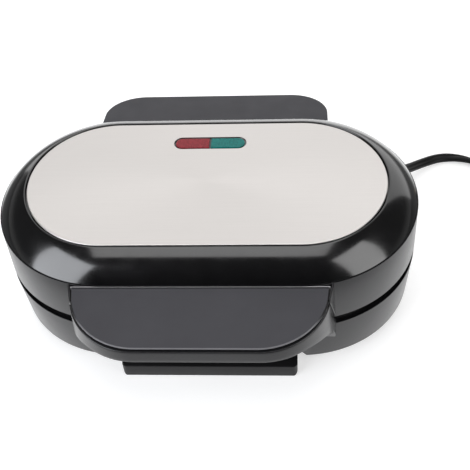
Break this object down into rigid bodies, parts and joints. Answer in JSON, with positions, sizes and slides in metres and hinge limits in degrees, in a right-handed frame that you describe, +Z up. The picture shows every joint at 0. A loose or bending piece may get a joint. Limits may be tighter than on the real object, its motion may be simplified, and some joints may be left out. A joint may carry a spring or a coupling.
{
  "type": "omelette maker",
  "caption": "Electric countertop omelette maker: stadium-shaped body, hinged lid with stainless top plate and indicator lamps, front grip, twin-well non-stick plates and mains cord.",
  "frame": {"origin": "middle of the bottom of the appliance's box, on the surface it stands on, cord left out", "axes": "+X to the user's right along the long side, +Y to the back where the hinges are, +Z up"},
  "size_m": [0.3926, 0.2732, 0.0884],
  "materials": {
    "gloss_black": "glossy moulded black",
    "satin_black": "satin moulded black",
    "panel_grey": "matte charcoal grey",
    "foot_plastic": "satin moulded black",
    "stainless_top": "fine brushed stainless",
    "nonstick_coating": "non-stick coating on cast aluminium",
    "element_sheath": "dull steel sheath",
    "reflector_sheet": "bright sheet",
    "steel_fasteners": "zinc plated",
    "control_metal": "plain metal can",
    "lens_red": "tinted red",
    "lens_green": "tinted green",
    "lamp_glass": "clear",
    "pad_rubber": "matte",
    "cord_sheath": "satin black flexible sheath",
    "plug_plastic": "satin moulded black",
    "blade_brass": "polished",
    "wire_insulation": "white sleeving",
    "terminal_plastic": "natural nylon"
  },
  "bodies": {
    "base": {"base_housing": "satin_black", "base_cover": "satin_black", "base_grip": "satin_black", "hinge_bracket_left": "satin_black", "hinge_bracket_right": "satin_black", "front_foot": "foot_plastic", "rear_foot": "foot_plastic", "lower_cooking_plate": "nonstick_coating", "lower_heating_element": "element_sheath", "lower_reflector": "reflector_sheet", "base_screws": "steel_fasteners", "hinge_pin_left": "steel_fasteners", "hinge_pin_right": "steel_fasteners", "thermostat": "control_metal", "rubber_pads": "pad_rubber", "cord": "cord_sheath", "cord_coil": "cord_sheath", "plug_lead": "cord_sheath", "strain_relief": "cord_sheath", "plug_body": "plug_plastic", "plug_blades": "blade_brass", "base_leads": "wire_insulation", "terminal_block": "terminal_plastic"},
    "lid": {"lid_housing": "gloss_black", "top_plate": "stainless_top", "lamp_bezel": "satin_black", "red_lens": "lens_red", "green_lens": "lens_green", "lamp_holder": "satin_black", "neon_lamps": "lamp_glass", "lid_screws": "steel_fasteners", "upper_cooking_plate": "nonstick_coating", "upper_heating_element": "element_sheath", "upper_reflector": "reflector_sheet", "thermal_fuse": "control_metal", "handle_panel": "panel_grey", "lid_handle": "satin_black", "rear_cover": "panel_grey", "lid_leads": "wire_insulation", "lid_arm_left": "satin_black", "lid_arm_right": "satin_black"}
  },
  "joints": [
    {"name": "lid_hinge", "type": "hinge", "parent": "base", "child": "lid", "pos_m": [0, 0.077, 0.0441], "axis": [-1, 0, 0], "range_deg": [0, 100]}
  ]
}
